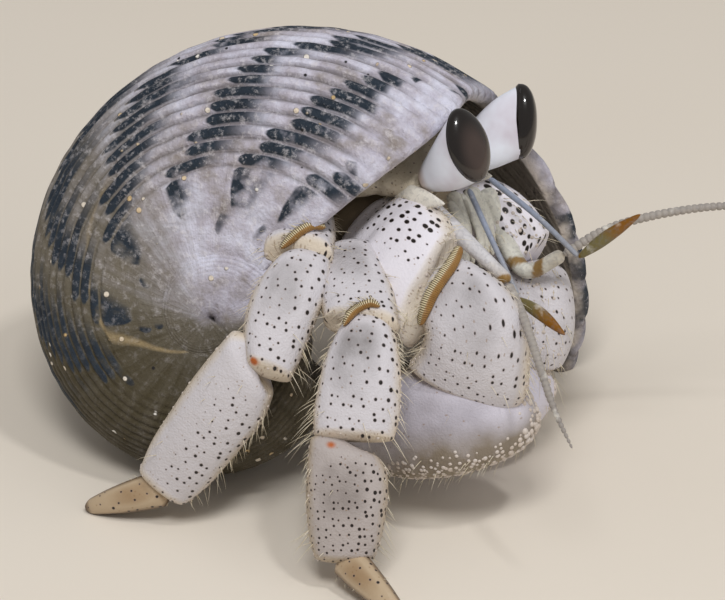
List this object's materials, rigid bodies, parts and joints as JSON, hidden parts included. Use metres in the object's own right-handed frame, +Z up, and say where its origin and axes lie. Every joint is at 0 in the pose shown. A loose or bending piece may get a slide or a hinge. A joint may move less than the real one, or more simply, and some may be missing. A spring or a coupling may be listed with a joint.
{
  "type": "hermit crab",
  "caption": "Land hermit crab standing half out of a ribbed nerite shell, with stalked eyes, spotted legs, rounded claws and long feelers; a life-size still model.",
  "frame": {"origin": "middle of the animal's outline seen from above, on the ground", "axes": "+X the way the crab heads, +Y its left side, +Z up"},
  "size_m": [0.0344, 0.0266, 0.0199],
  "materials": {
    "shell": "chalky, ribbed seashell with blue-black dashes",
    "plate": "satin shell plate of leg, claw arm and shield, lilac white with dark dots",
    "claw": "smooth porcelain-like claw",
    "claw_tip": "horny brown tip",
    "eyestalk": "smooth white",
    "cornea": "wet gloss, dark brown-grey",
    "feeler": "satin, ringed",
    "flesh": "soft skin",
    "seta": "pale gold bristles"
  },
  "bodies": {
    "root": {"shell": "shell", "cornea_right": "cornea", "eyestalk_right": "eyestalk", "cornea_left": "cornea", "eyestalk_left": "eyestalk", "cheliped_right_palm": "claw", "cheliped_right_carpus": "plate", "cheliped_right_merus": "plate", "cheliped_right_finger": "claw", "cheliped_left_palm": "claw", "cheliped_left_carpus": "plate", "cheliped_left_merus": "plate", "cheliped_left_finger": "claw", "leg_front_right_propodus": "plate", "leg_front_right_carpus": "plate", "leg_front_right_merus": "plate", "leg_front_right_dactyl": "claw_tip", "leg_rear_right_propodus": "plate", "leg_rear_right_carpus": "plate", "leg_rear_right_merus": "plate", "leg_rear_right_dactyl": "claw_tip", "leg_front_left_propodus": "plate", "leg_front_left_carpus": "plate", "leg_front_left_merus": "plate", "leg_front_left_dactyl": "claw_tip", "leg_rear_left_propodus": "plate", "leg_rear_left_carpus": "plate", "leg_rear_left_merus": "plate", "leg_rear_left_dactyl": "claw_tip", "antenna_base_right": "plate", "antenna_base_left": "plate", "antenna_whip_right": "feeler", "antenna_whip_left": "feeler", "antennule_stem_right": "feeler", "antennule_tip_right": "feeler", "antennule_stem_left": "feeler", "antennule_tip_left": "feeler", "acicle_right": "plate", "acicle_left": "plate", "maxilliped_right": "plate", "maxilliped_left": "plate", "shield": "plate", "thorax": "flesh", "abdomen": "flesh"}
  },
  "joints": []
}
